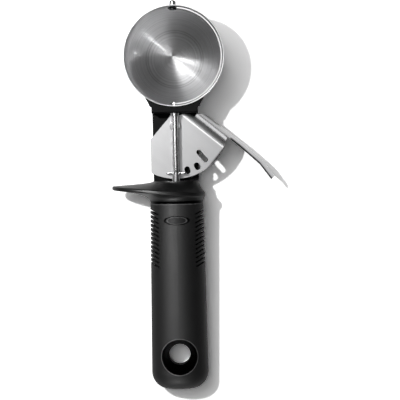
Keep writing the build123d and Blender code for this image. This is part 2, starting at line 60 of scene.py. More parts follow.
# The middle of the hanging hole and the seam under the guard, along the tool.
HANG_STATION = -0.1862
SEAM_STATION = -0.0908

BOWL_PIECES = ("bowl", "wiper")
BLACK_PIECES = ("neck", "guard", "grip", "badge", "handle_core")

WHITE = (1.0, 1.0, 1.0)

# ---------------------------------------------------------------- shared helpers


def deselect_all():
    if bpy.context.object and bpy.context.object.mode != "OBJECT":
        bpy.ops.object.mode_set(mode="OBJECT")
    bpy.ops.object.select_all(action="DESELECT")


def dress(piece, material):
    piece.data.materials.clear()
    piece.data.materials.append(material)


def grey(level):
    return (level, level, level * 1.01)


# ---------------------------------------------------------------- shader nodes


def feed(tree, value, socket):
    """Links a socket to another one, or gives it a fixed value."""
    if isinstance(value, bpy.types.NodeSocket):
        tree.links.new(value, socket)
    else:
        socket.default_value = value


def add_math(tree, operation, first, second=None):
    """A Math node fed by sockets or numbers; gives its output socket."""
    node = tree.nodes.new("ShaderNodeMath")
    node.operation = operation
    feed(tree, first, node.inputs[0])
    if second is not None:
        feed(tree, second, node.inputs[1])
    return node.outputs[0]


def add_vector_math(tree, operation, first, second=None):
    """A Vector Math node fed by sockets or vectors; gives its output socket."""
    node = tree.nodes.new("ShaderNodeVectorMath")
    node.operation = operation
    feed(tree, first, node.inputs[0])
    if second is not None:
        feed(tree, second, node.inputs["Scale" if operation == "SCALE" else 1])
    return node.outputs["Value" if operation in ("DOT_PRODUCT", "LENGTH") else "Vector"]


def add_ramp(tree, factor, low, high, to_low=0.0, to_high=1.0):
    """A Map Range node; gives its output socket."""
    node = tree.nodes.new("ShaderNodeMapRange")
    tree.links.new(factor, node.inputs["Value"])
    node.inputs["From Min"].default_value = low
    node.inputs["From Max"].default_value = high
    node.inputs["To Min"].default_value = to_low
    node.inputs["To Max"].default_value = to_high
    return node.outputs["Result"]


def add_noise(tree, source, scale, detail, dimensions="3D"):
    """A Noise Texture over a vector, or over a length when it has one dimension; gives its socket."""
    node = tree.nodes.new("ShaderNodeTexNoise")
    node.noise_dimensions = dimensions
    tree.links.new(source, node.inputs["W" if dimensions == "1D" else "Vector"])
    feed(tree, scale, node.inputs["Scale"])
    node.inputs["Detail"].default_value = detail
    return node.outputs["Fac"]


def split_xyz(tree, vector):
    """The X, Y and Z sockets of a vector."""
    node = tree.nodes.new("ShaderNodeSeparateXYZ")
    tree.links.new(vector, node.inputs[0])
    return node.outputs


def add_radius(tree, first, second):
    """How far two values together are from nought, as on a circle."""
    squares = [add_math(tree, "MULTIPLY", value, value) for value in (first, second)]
    return add_math(tree, "SQRT", add_math(tree, "ADD", *squares))


def add_distance(tree, value, place):
    """How far a value is from a place, on either side."""
    return add_math(tree, "ABSOLUTE", add_math(tree, "SUBTRACT", value, place))


def add_line(tree, value, line, strength=1.0):
    """A mask for a thin line: its place, how far it is full to each side and where it has faded."""
    place, full, faded = line
    return add_ramp(tree, add_distance(tree, value, place), full, faded, strength, 0.0)


def tilt_vector(tree, vector):
    """Turns a direction of the tool's level frame into the world's."""
    node = tree.nodes.new("ShaderNodeVectorRotate")
    node.rotation_type = "X_AXIS"
    node.inputs["Angle"].default_value = TILT
    tree.links.new(vector, node.inputs["Vector"])
    return node.outputs["Vector"]


def surface_normal(tree):
    return tree.nodes.new("ShaderNodeNewGeometry").outputs["Normal"]


# ---------------------------------------------------------------- shader groups


def new_group(name, inputs, outputs):
    """A shader group: its inputs as (name, kind, default) after the vector, its outputs as (name, kind)."""
    group = bpy.data.node_groups.new(name, "ShaderNodeTree")
    group.interface.new_socket("Vector", in_out="INPUT", socket_type="NodeSocketVector")
    for socket, kind, default in inputs:
        made = group.interface.new_socket(socket, in_out="INPUT", socket_type="NodeSocket" + kind)
        made.default_value = default
    for socket, kind in outputs:
        group.interface.new_socket(socket, in_out="OUTPUT", socket_type="NodeSocket" + kind)
    start = group.nodes.new("NodeGroupInput")
    end = group.nodes.new("NodeGroupOutput")
    return group, start.outputs, end.inputs


# Two turned lines stand close together, half way up the bowl's side: their middle, and each line from there.
TURNED_PAIR = 0.01765
TURNED_LINE = (0.0006, 0.0, 0.00045)
TURNED_DEPTH = 0.8


def spun_rings_group():
    """Fine rings left by spinning: they follow a round piece from its pole to its rim."""
    group, start, end = new_group(
        "spun_rings",
        (("Rings per metre", "Float", 1500.0), ("Tip", "Float", 0.8)),
        (("Mask", "Float"), ("Normal", "Vector")),
    )
    place = split_xyz(group, start["Vector"])
    radius = add_radius(group, place["X"], place["Y"])
    depth = add_math(group, "MULTIPLY", place["Z"], -1.0)
    way = add_math(group, "MULTIPLY", add_math(group, "ARCTAN2", radius, depth), BOWL_RADIUS)
    turns = add_math(group, "MULTIPLY", way, start["Rings per metre"])
    fine = add_noise(group, turns, scale=1.0, detail=1.0, dimensions="1D")
    broad = add_noise(group, turns, scale=0.2, detail=2.0, dimensions="1D")
    turned = add_line(group, add_distance(group, radius, TURNED_PAIR), TURNED_LINE, TURNED_DEPTH)
    group.links.new(add_math(group, "SUBTRACT", broad, turned), end["Mask"])
    # The surface is tipped along the meridian by the height of the rings.
    round_axis = group.nodes.new("ShaderNodeCombineXYZ")
    group.links.new(add_math(group, "SUBTRACT", BRUSH_CENTRE[1], place["Y"]), round_axis.inputs["X"])
    group.links.new(add_math(group, "SUBTRACT", place["X"], BRUSH_CENTRE[0]), round_axis.inputs["Y"])
    surface = surface_normal(group)
    meridian = add_vector_math(group, "CROSS_PRODUCT", surface, tilt_vector(group, round_axis.outputs[0]))
    meridian = add_vector_math(group, "NORMALIZE", meridian)
    amount = add_math(group, "MULTIPLY", add_math(group, "SUBTRACT", fine, 0.5), start["Tip"])
    normal = add_vector_math(group, "ADD", surface, add_vector_math(group, "SCALE", meridian, amount))
    group.links.new(add_vector_math(group, "NORMALIZE", normal), end["Normal"])
    return group


# A cut edge that gets a painted white highlight faces up and lies this far from the bowl's axis.
FACING_UP = (0.8, 0.95)
RIM_RADIUS = (0.024, 0.025)
# The strip's root at the tip, where shade is painted dark: its half width, and its lower and upper end.
ROOT_SIDE = (0.0026, 0.0022)
ROOT_START = (0.0268, 0.0272)
ROOT_END = (0.0311, 0.0307)


def cut_edges_group():
    """Masks for the cut edges that face up along the bowl's rim, where a highlight is painted white, and for
    the strip's root at the tip, where shade is painted dark.
    """
    group, start, end = new_group("painted_edge_light_and_tip_shade", (), (("Edge highlight", "Float"), ("Root shade", "Float")))
    place = split_xyz(group, start["Vector"])
    upward = add_ramp(group, split_xyz(group, surface_normal(group))["Z"], *FACING_UP)
    outer = add_ramp(group, add_radius(group, place["X"], place["Y"]), *RIM_RADIUS)
    group.links.new(add_math(group, "MULTIPLY", upward, outer), end["Edge highlight"])
    near_axis = add_ramp(group, place["X"], *ROOT_SIDE)
    within = add_math(group, "MULTIPLY", add_ramp(group, place["Y"], *ROOT_START),
                      add_ramp(group, place["Y"], *ROOT_END))
    group.links.new(add_math(group, "MULTIPLY", near_axis, within), end["Root shade"])
    return group


def brushed_lines_group():
    """Straight brushing marks along the X axis of the vector."""
    group, start, end = new_group(
        "brushed_lines",
        (("Lines per metre", "Float", 2500.0), ("Stretch", "Float", 0.02)),
        (("Height", "Float"), ("Mask", "Float")),
    )
    place = split_xyz(group, start["Vector"])
    drawn_out = group.nodes.new("ShaderNodeCombineXYZ")
    group.links.new(add_math(group, "MULTIPLY", place["X"], start["Stretch"]), drawn_out.inputs["X"])
    group.links.new(place["Y"], drawn_out.inputs["Y"])
    group.links.new(place["Z"], drawn_out.inputs["Z"])
    fine = add_noise(group, drawn_out.outputs[0], scale=start["Lines per metre"], detail=2.0)
    broad = add_noise(group, drawn_out.outputs[0], scale=260.0, detail=3.0)
    group.links.new(fine, end["Height"])
    group.links.new(broad, end["Mask"])
    return group


# The lever in the plan of its fold, where X runs along the fold and Y away from the plate: its crease, which
# gets a painted white highlight, where the formed part starts and how far a face has to turn to the handle to
# get painted shade.
CREASE_LINE = (0.0002, 0.0001, 0.0007)
FORMED_FROM = (0.0002, 0.0008)
FACING_HANDLE = (0.3, 0.8)
# The arm's cut edge, where shade is painted dark: how far it reaches across the fold, and from where along
# it.
CUT_EDGE = (0.0083, 0.0077)
CUT_EDGE_START = (0.0325, 0.0335)
# Where the arm and its pad turn inwards along the fold, and how steeply.
ARM_TURN, ARM_SLOPE = 0.040, 0.056
PAD_TURN, PAD_SLOPE = 0.0566, 0.19


def fold_marks_group():
    """Masks for the lever's crease, where a highlight is painted white, for what is formed beyond it, and for
    the faces turned to the handle and the arm's cut edge, where shade is painted dark.
    """
    group, start, end = new_group(
        "fold_marks", (), (("Crease highlight", "Float"), ("Formed", "Float"), ("Inside", "Float")))
    place = split_xyz(group, start["Vector"])
    group.links.new(add_line(group, place["Y"], CREASE_LINE), end["Crease highlight"])
    group.links.new(add_ramp(group, place["Y"], *FORMED_FROM), end["Formed"])
    to_handle = (-math.sin(FOLD_ANGLE), -math.cos(FOLD_ANGLE), 0.0)
    turned = add_vector_math(group, "DOT_PRODUCT", surface_normal(group), to_handle)
    inside = add_ramp(group, turned, *FACING_HANDLE)
    # The arm's cut edge, painted dark as shade, follows the arm where it turns inwards.
    across = place["Y"]
    for turn, slope in ((ARM_TURN, ARM_SLOPE), (PAD_TURN, PAD_SLOPE)):
        past = add_math(group, "MAXIMUM", add_math(group, "SUBTRACT", place["X"], turn), 0.0)
        across = add_math(group, "ADD", across, add_math(group, "MULTIPLY", past, slope))
    cut = add_math(group, "MULTIPLY", add_ramp(group, across, *CUT_EDGE),
                   add_ramp(group, place["X"], *CUT_EDGE_START))
    group.links.new(add_math(group, "MAXIMUM", inside, cut), end["Inside"])
    return group


# The hanging hole: where its recess, painted black as shade, ends and the fine lip of its mouth, which gets a
# painted highlight, from the hole's middle.
RECESS_RADIUS = (0.0112, 0.0109)
MOUTH_LIP = (0.0114, 0.0001, 0.0004)
# The groove at the seam under the guard, painted black as shade, and the lip there, which gets a painted
# highlight, from the seam.
SEAM_GROOVE = (0.0009, 0.0006, 0.0010)
SEAM_LIP = (-0.0003, 0.0001, 0.0005)
SEAM_LIP_STRENGTH = 0.6
# The badge's gap, painted black as shade, and its rim, which gets a painted highlight, as shares of its oval,
# and the height from which a face counts as the front.
BADGE_GAP = (1.08, 0.05, 0.09)
BADGE_RIM = (0.87, 0.04, 0.09)
BADGE_RIM_STRENGTH = 0.8
FRONT_FROM = (0.0, 0.001)


def rubber_marks_group():
    """Masks for what lies deep in the rubber, where shade is painted black, and for the fine lips beside it,
    where highlights are painted grey.
    """
    group, start, end = new_group("rubber_marks", (), (("Deep shade", "Float"), ("Lip highlight", "Float")))
    place = split_xyz(group, start["Vector"])
    from_hole = add_radius(group, place["X"], add_math(group, "SUBTRACT", place["Y"], HANG_STATION))
    recess = add_ramp(group, from_hole, *RECESS_RADIUS)
    mouth_lip = add_line(group, from_hole, MOUTH_LIP)
    from_seam = add_math(group, "SUBTRACT", place["Y"], SEAM_STATION)
    groove = add_line(group, from_seam, SEAM_GROOVE)
    seam_lip = add_line(group, from_seam, SEAM_LIP, SEAM_LIP_STRENGTH)
    deep = add_math(group, "MAXIMUM", recess, groove)
    lip = add_math(group, "MAXIMUM", mouth_lip, seam_lip)
    # The badge is an oval with a gap round it and a raised rim inside the gap; the gap gets painted shade,
    # the rim a painted highlight.
    right, up = (
        add_math(group, "DIVIDE", add_math(group, "SUBTRACT", place[axis], middle), reach)
        for axis, middle, reach in zip("XY", BADGE_PLACE, BADGE_REACH)
    )
    oval = add_radius(group, right, up)
    front = add_ramp(group, place["Z"], *FRONT_FROM)
    gap = add_line(group, oval, BADGE_GAP)
    rim = add_line(group, oval, BADGE_RIM, BADGE_RIM_STRENGTH)
    deep = add_math(group, "MAXIMUM", deep, add_math(group, "MULTIPLY", gap, front))
    lip = add_math(group, "MAXIMUM", lip, add_math(group, "MULTIPLY", rim, front))
    group.links.new(deep, end["Deep shade"])
    group.links.new(lip, end["Lip highlight"])
    return group


# The part of the cloudy noise that shows as smudges.
SMUDGE_RANGE = (0.42, 0.7)


def handling_group():
    """Faint smudges from handling, as a mask."""
    group, start, end = new_group("handling", (("Size", "Float", 60.0),), (("Smudges", "Float"),))
    cloudy = add_noise(group, start["Vector"], scale=start["Size"], detail=4.0)
    group.links.new(add_ramp(group, cloudy, *SMUDGE_RANGE), end["Smudges"])
    return group


# How much the pebbles count against the noise, and the noise's scale against theirs.
PEBBLE_SHARE = 0.6
NOISE_SCALE_SHARE = 0.5


def moulded_grain_group():
    """The fine pebbled skin of moulded plastic and rubber."""
    group, start, end = new_group(
        "moulded_grain", (("Grains per metre", "Float", 2200.0),), (("Height", "Float"), ("Mask", "Float")))
    grains = start["Grains per metre"]
    cells = group.nodes.new("ShaderNodeTexVoronoi")
    group.links.new(start["Vector"], cells.inputs["Vector"])
    group.links.new(grains, cells.inputs["Scale"])
    noise_scale = add_math(group, "MULTIPLY", grains, NOISE_SCALE_SHARE)
    noise = add_noise(group, start["Vector"], scale=noise_scale, detail=3.0)
    pebbles = add_math(group, "MULTIPLY", cells.outputs["Distance"], PEBBLE_SHARE)
    group.links.new(add_math(group, "ADD", pebbles, noise), end["Height"])
    group.links.new(noise, end["Mask"])
    return group


EFFECTS = {
    "spun_rings": spun_rings_group,
    "painted_edge_light_and_tip_shade": cut_edges_group,
    "brushed_lines": brushed_lines_group,
    "fold_marks": fold_marks_group,
    "rubber_marks": rubber_marks_group,
    "handling": handling_group,
    "moulded_grain": moulded_grain_group,
}


def effect(tree, name, vector, **values):
    """Places a shader group in a material, with its vector and its own values; gives its output sockets."""
    group = bpy.data.node_groups.get(name) or EFFECTS[name]()
    node = tree.nodes.new("ShaderNodeGroup")
    node.node_tree = group
    tree.links.new(vector, node.inputs["Vector"])
    for socket, value in values.items():
        feed(tree, value, node.inputs[socket.replace("_", " ")])
    return node.outputs


# ---------------------------------------------------------------- materials


def new_material(name):
    """A material with its Principled BSDF and the tool's own level coordinates."""
    material = bpy.data.materials.new(name)
    material.use_nodes = True
    tree = material.node_tree
    shader = tree.nodes["Principled BSDF"]
    coordinates = tree.nodes.new("ShaderNodeTexCoord")
    level = tree.nodes.new("ShaderNodeMapping")
    level.vector_type = "TEXTURE"
    level.inputs["Location"].default_value = BOWL_CENTRE
    level.inputs["Rotation"].default_value = (TILT, 0.0, 0.0)
    tree.links.new(coordinates.outputs["Object"], level.inputs["Vector"])
    return material, tree, shader, level.outputs["Vector"]


def add_bump(tree, shader, height, strength, distance):
    bump = tree.nodes.new("ShaderNodeBump")
    bump.inputs["Strength"].default_value = strength
    bump.inputs["Distance"].default_value = distance
    tree.links.new(height, bump.inputs["Height"])
    tree.links.new(bump.outputs["Normal"], shader.inputs["Normal"])


def mix_colour(tree, factor, first, second):
    """Mixes two colours by a mask; the first may be a socket."""
    node = tree.nodes.new("ShaderNodeMix")
    node.data_type = "RGBA"
    tree.links.new(factor, node.inputs["Factor"])
    feed(tree, first if isinstance(first, bpy.types.NodeSocket) else (*first, 1.0), node.inputs["A"])
    feed(tree, (*second, 1.0), node.inputs["B"])
    return node.outputs["Result"]


def mix_shader(tree, factor, first, second):
    """Mixes two shader nodes by a mask; gives the Mix Shader node."""
    node = tree.nodes.new("ShaderNodeMixShader")
    tree.links.new(factor, node.inputs["Fac"])
    tree.links.new(first.outputs[0], node.inputs[1])
    tree.links.new(second.outputs[0], node.inputs[2])
    return node


# The middle of a noise, over which a finish goes from its smoothest to its roughest.
NOISE_MIDDLE = (0.3, 0.7)


def add_roughness(tree, pattern, vector, roughness, less, more, smudge, size):
    """Roughness that follows a pattern and rises where the piece is smudged; gives its socket."""
    smudges = effect(tree, "handling", vector, Size=size)["Smudges"]
    even = add_ramp(tree, pattern, *NOISE_MIDDLE, roughness - less, roughness + more)
    return add_math(tree, "ADD", even, add_math(tree, "MULTIPLY", smudges, smudge))


def spun_steel(name, tone, roughness, root_shade=0.0):
    """Steel brushed in fine rings round the bowl's axis, with a highlight painted white on its cut edges and,
    if asked, shade painted dark on the strip's root.
    """
    material, tree, shader, level = new_material(name)
    edges = effect(tree, "painted_edge_light_and_tip_shade", level)
    brushed = add_math(tree, "SUBTRACT", 1.0, edges["Edge highlight"])
    rings = effect(tree, "spun_rings", level, Rings_per_metre=4500.0, Tip=brushed)
    shader.inputs["Metallic"].default_value = 1.0
    tint = mix_colour(tree, rings["Mask"], grey(tone * 0.8), grey(tone * 1.18))
    # Painted highlight: the cut edges that face up are painted white.
    tint = mix_colour(tree, edges["Edge highlight"], tint, WHITE)
    if root_shade:
        # Painted shade: the strip's root at the tip is painted dark.
        tint = mix_colour(tree, edges["Root shade"], tint, grey(root_shade))
    tree.links.new(tint, shader.inputs["Base Color"])
    rough = add_roughness(
        tree, rings["Mask"], level, roughness, less=0.03, more=0.03, smudge=0.04, size=45.0)
    tree.links.new(rough, shader.inputs["Roughness"])
    tree.links.new(brushed, shader.inputs["Anisotropic"])
    tree.links.new(rings["Normal"], shader.inputs["Normal"])
    # The long side of the highlight lies along the meridian, across the brushing.
    from_start = add_vector_math(tree, "SUBTRACT", level, BRUSH_CENTRE)
    outward = add_vector_math(tree, "MULTIPLY", from_start, (1.0, 1.0, 0.0))
    surface = surface_normal(tree)
    around = add_vector_math(tree, "CROSS_PRODUCT", tilt_vector(tree, outward), surface)
    meridian = add_vector_math(tree, "CROSS_PRODUCT", surface, around)
    tree.links.new(meridian, shader.inputs["Tangent"])
    return material


# The depth of a brushing mark in steel, in metres.
BRUSH_DEPTH = 0.00002


def brushed_steel(name, tone, roughness, turn, relief=0.2):
    """Satin steel with brushing marks at an angle in the tool's plan."""
    material, tree, shader, level = new_material(name)
    turned = tree.nodes.new("ShaderNodeMapping")
    turned.inputs["Rotation"].default_value = (0.0, 0.0, turn)
    tree.links.new(level, turned.inputs["Vector"])
    lines = effect(tree, "brushed_lines", turned.outputs["Vector"])
    shader.inputs["Metallic"].default_value = 1.0
    tint = mix_colour(tree, lines["Mask"], grey(tone * 0.9), grey(tone * 1.08))
    tree.links.new(tint, shader.inputs["Base Color"])
    rough = add_roughness(
        tree, lines["Mask"], level, roughness, less=0.05, more=0.06, smudge=0.05, size=70.0)
    tree.links.new(rough, shader.inputs["Roughness"])
    if relief:
        add_bump(tree, shader, lines["Height"], relief, BRUSH_DEPTH)
    return material


# The sheet's tones where it is formed (painted light) and inside (painted shade), how much they cover and how
# much smoother it is formed.
FORMED_LIGHT_TONE, FORMED_COVER, FORMED_SMOOTHER = 0.6, 0.7, 0.2
INSIDE_SHADE_TONE, INSIDE_COVER = 0.01, 0.95


def stamped_sheet(name, tone, roughness):
    """The lever's sheet: satin and flat on its plate, smoother where it is folded, with painted light: its
    own tone where folded, a white highlight on the crease and dark shade inside and on the arm's cut edge.
    """
    material, tree, shader, level = new_material(name)
    folded = tree.nodes.new("ShaderNodeMapping")
    folded.vector_type = "TEXTURE"
    folded.inputs["Location"].default_value = FOLD_CORNER
    folded.inputs["Rotation"].default_value = (0.0, 0.0, -FOLD_ANGLE)
    tree.links.new(level, folded.inputs["Vector"])
    lines = effect(tree, "brushed_lines", folded.outputs["Vector"], Stretch=0.05)
    folds = effect(tree, "fold_marks", folded.outputs["Vector"])
    shader.inputs["Metallic"].default_value = 1.0
    tint = mix_colour(tree, lines["Mask"], grey(tone * 0.92), grey(tone * 1.08))
    # Painted light: the folded part gets its own tone for how it catches the light.
    formed = add_math(tree, "MULTIPLY", folds["Formed"], FORMED_COVER)
    tint = mix_colour(tree, formed, tint, grey(FORMED_LIGHT_TONE))
    # Painted highlight: the crease is painted white.
    tint = mix_colour(tree, folds["Crease highlight"], tint, WHITE)
    # Painted shade: the faces turned to the handle and the arm's cut edge are painted dark.
    inside = add_math(tree, "MULTIPLY", folds["Inside"], INSIDE_COVER)
    tint = mix_colour(tree, inside, tint, grey(INSIDE_SHADE_TONE))
    tree.links.new(tint, shader.inputs["Base Color"])
    rough = add_roughness(
        tree, lines["Mask"], level, roughness, less=0.04, more=0.04, smudge=0.04, size=70.0)
    smoother = add_math(tree, "MULTIPLY", folds["Formed"], FORMED_SMOOTHER)
    tree.links.new(add_math(tree, "SUBTRACT", rough, smoother), shader.inputs["Roughness"])
    add_bump(tree, shader, lines["Height"], 0.15, BRUSH_DEPTH)
    return material


# The rubber's painted highlight tone at its lips and painted shade tone in what lies deep, and the depth of
# its grain in metres.
LIP_HIGHLIGHT_TONE = 0.1
DEEP_SHADE_TONE = 0.0004
GRAIN_DEPTH = 0.00006


def moulded(name, colour, roughness, grains, relief, gloss):
    """Moulded black plastic or rubber with a fine grain and faint handling marks, shade painted black where
    it lies deep and highlights painted grey on its lips.
    """
    material, tree, shader, level = new_material(name)
    grain = effect(tree, "moulded_grain", level, Grains_per_metre=grains)
    places = effect(tree, "rubber_marks", level)
    tint = mix_colour(tree, grain["Mask"], [c * 0.85 for c in colour], [c * 1.2 for c in colour])
    # Painted highlight: the lips of the hole, the seam and the badge are painted grey.
    tint = mix_colour(tree, places["Lip highlight"], tint, grey(LIP_HIGHLIGHT_TONE))
    # Painted shade: the hole's recess, the seam's groove and the badge's gap are painted black.
    tint = mix_colour(tree, places["Deep shade"], tint, grey(DEEP_SHADE_TONE))
    tree.links.new(tint, shader.inputs["Base Color"])
    rough = add_roughness(
        tree, grain["Mask"], level, roughness, less=0.04, more=0.04, smudge=0.05, size=40.0)
    tree.links.new(rough, shader.inputs["Roughness"])
    # Painted shade: the recess and the gaps are also a black metal, which gives back no light at all, so they
    # stay black.
    tree.links.new(places["Deep shade"], shader.inputs["Metallic"])
    shader.inputs["Specular IOR Level"].default_value = gloss
    add_bump(tree, shader, grain["Height"], relief, GRAIN_DEPTH)
    return material


# The floor's side, what it gives back to light and to the camera, and how far out it turns plain white.
FLOOR_SIDE = 12.0
FLOOR_TONE = (0.8, 0.8, 0.8)
FLOOR_SEEN = (1.7, 1.7, 1.7)
FLOOR_WHITE_FROM = (0.22, 0.45)


def floor_white():
    """A white floor that keeps the shadow near the tool and is plain white away from it."""
    material = bpy.data.materials.new("floor_white")
    material.use_nodes = True
    tree = material.node_tree
    shader = tree.nodes["Principled BSDF"]
    shader.inputs["Base Color"].default_value = (*FLOOR_TONE, 1.0)
    shader.inputs["Roughness"].default_value = 0.9
    shader.inputs["Specular IOR Level"].default_value = 0.0
    rays = tree.nodes.new("ShaderNodeLightPath").outputs
    seen = tree.nodes.new("ShaderNodeBsdfDiffuse")
    tint = mix_colour(tree, rays["Is Camera Ray"], WHITE, FLOOR_SEEN)
    tree.links.new(tint, seen.inputs["Color"])
    direct = add_math(tree, "MAXIMUM", rays["Is Camera Ray"], rays["Is Glossy Ray"])
    direct = add_math(tree, "MAXIMUM", direct, rays["Is Transmission Ray"])
    # Away from the tool the floor glows, so low views keep a white ground.
    glow = tree.nodes.new("ShaderNodeEmission")
    place = tree.nodes.new("ShaderNodeTexCoord")
    reach = add_vector_math(tree, "LENGTH", place.outputs["Object"])
    ground = mix_shader(tree, add_ramp(tree, reach, *FLOOR_WHITE_FROM), seen, glow)
    mixed = mix_shader(tree, direct, shader, ground)
    tree.links.new(mixed.outputs[0], tree.nodes["Material Output"].inputs["Surface"])
    return material


# ---------------------------------------------------------------- properties


class ScoopSteel(bpy.types.PropertyGroup):
    polished_tone: bpy.props.FloatProperty(
        name="Polished tone", description="Reflectance of the polished steel", default=0.72, min=0.2, max=1.0)
    bowl_roughness: bpy.props.FloatProperty(
        name="Bowl roughness", description="Roughness of the bowl's steel", default=0.31, min=0.05, max=0.6)
    satin_tone: bpy.props.FloatProperty(
        name="Satin tone", description="Reflectance of the satin steel", default=0.5, min=0.2, max=1.0)
    satin_roughness: bpy.props.FloatProperty(
        name="Satin roughness", description="Roughness of the satin steel", default=0.45, min=0.1, max=0.7)


class ScoopBlack(bpy.types.PropertyGroup):
    plastic: bpy.props.FloatVectorProperty(
        name="Plastic", description="Colour of the neck's plastic",
        subtype="COLOR", default=(0.003, 0.003, 0.0032))
    rubber: bpy.props.FloatVectorProperty(
        name="Rubber", description="Colour of the grip and the guard",
        subtype="COLOR", default=(0.003, 0.003, 0.0032))


class ScoopStudio(bpy.types.PropertyGroup):
    camera_height: bpy.props.FloatProperty(
        name="Camera height", description="Height of the camera above the floor",
        default=0.634, unit="LENGTH")
    key_power: bpy.props.FloatProperty(
        name="Key light", description="Power of the small near light", default=7.0, unit="POWER")
    glint_power: bpy.props.FloatProperty(
        name="Glint light", description="Power of the small light that the bowl mirrors",
        default=1.0, unit="POWER")
    top_power: bpy.props.FloatProperty(
        name="Fill light", description="Power of the wide fill overhead", default=2.8, unit="POWER")
    sky: bpy.props.FloatProperty(
        name="Room light", description="Strength of the room's even light", default=0.04, min=0.0, max=1.0)


# ---------------------------------------------------------------- operators


class SCOOP_OT_bowl(bpy.types.Operator):
    """Polish the bowl and the parts that turn in it"""

    bl_idname = "scoop.bowl"
    bl_label = "Bowl and wiper"

    def execute(self, context):
        steel = context.scene.scoop_steel
        bowl_finish = spun_steel("spun_bowl_steel", steel.polished_tone, steel.bowl_roughness)
        strip_finish = spun_steel("strip_steel", steel.satin_tone, roughness=0.36, root_shade=0.01)
        rod_finish = brushed_steel(
            "rod_steel", steel.polished_tone, roughness=0.24, turn=math.pi / 2, relief=0.0)
        pivot_finish = spun_steel("pivot_steel", steel.polished_tone, roughness=0.2, root_shade=0.01)
        dress(nodes["bowl"], bowl_finish)
        dress(nodes["wiper"], strip_finish)
        dress(nodes["tip_pivot"], pivot_finish)
        for name in ("spindle", "cross_pin_a", "cross_pin_b"):
            dress(nodes[name], rod_finish)
        return {"FINISHED"}


class SCOOP_OT_lever(bpy.types.Operator):
    """Finish the stamped lever, its spring and its small steel parts"""

    bl_idname = "scoop.lever"
    bl_label = "Lever and small steel"

    def execute(self, context):
        steel = context.scene.scoop_steel
        sheet = stamped_sheet("sheet_steel", steel.satin_tone, steel.satin_roughness)
        wire = brushed_steel("wire_steel", tone=0.4, roughness=0.3, turn=0.0)
        for name in ("lever", "tang"):
            dress(nodes[name], sheet)
        for name in ("return_spring", "pivot_pin", "pivot_washer", "pivot_nut",
                     "upper_bush", "lower_bush", "tang_pins"):
            dress(nodes[name], wire)
        return {"FINISHED"}


class SCOOP_OT_handle(bpy.types.Operator):
    """Finish the black neck, guard, grip and badge"""

    bl_idname = "scoop.handle"
    bl_label = "Neck, guard and grip"

    def execute(self, context):
        black = context.scene.scoop_black
        plastic = moulded(
            "neck_plastic", black.plastic, roughness=0.36, grains=1800.0, relief=0.12, gloss=0.2)
        rubber = moulded(
            "grip_rubber", black.rubber, roughness=0.52, grains=2600.0, relief=0.2, gloss=0.3)
        guard_finish = moulded(
            "guard_rubber", black.rubber, roughness=0.38, grains=2600.0, relief=0.1, gloss=0.35)
        badge_finish = moulded(
            "badge_plastic", black.plastic, roughness=0.5, grains=1800.0, relief=0.1, gloss=0.18)
        for name in ("neck", "handle_core"):
            dress(nodes[name], plastic)
        dress(nodes["grip"], rubber)
        dress(nodes["guard"], guard_finish)
        dress(nodes["badge"], badge_finish)
        return {"FINISHED"}


def place_lamp(light, place):
    lamp = bpy.data.objects.new(light.name, light)
    bpy.context.scene.collection.objects.link(lamp)
    lamp.location = place
    return lamp


def add_area_light(name, aim, away, side, power):
    """A square lamp that stands away from its aim and faces it."""
    light = bpy.data.lights.new(name, "AREA")
    light.shape = "RECTANGLE"
    light.size = side
    light.size_y = side
    light.energy = power
    place = aim + Vector(away)
    lamp = place_lamp(light, place)
    lamp.rotation_euler = (aim - place).to_track_quat("-Z", "Y").to_euler()
    return lamp


def add_point_light(name, place, radius, power):
    light = bpy.data.lights.new(name, "POINT")
    light.energy = power
    light.shadow_soft_size = radius
    return place_lamp(light, place)


def light_only(lamp, name, pieces, state="INCLUDE", mirrored=False):
    """Links a lamp to some pieces alone, or to all but them; a mirrored lamp shows only as a reflection."""
    lit = bpy.data.collections.new(name)
    for piece in pieces:
        lit.objects.link(nodes[piece])
    for member in lit.collection_objects:
        member.light_linking.link_state = state
    lamp.light_linking.receiver_collection = lit
    lamp.visible_diffuse = not mirrored


# Small lamps, from the floor under the bowl's centre.
KEY_PLACE = Vector((-0.21, 0.057, 0.473))
GLINT_PLACE = Vector((-0.21, 0.022, 0.473))
# Low lights that only the bowl mirrors: name, azimuth and lean from upright in degrees, radius, watts.
LOW_LIGHTS = (("low_light_a", 319.0, 52.0, 0.012, 1.5), ("low_light_b", 349.0, 66.0, 0.06, 1.4))
LOW_DISTANCE = 0.8
# What the wide lamps look at, from the floor under the bowl's centre.
FOLD_AIM = Vector((0.02, -0.05, 0.02))
TOP_AIM = Vector((-0.03, -0.04, 0.2))
BAND_AIM = Vector((0.0, -0.16, 0.0))
END_AIM = Vector((0.0, -0.2, 0.02))


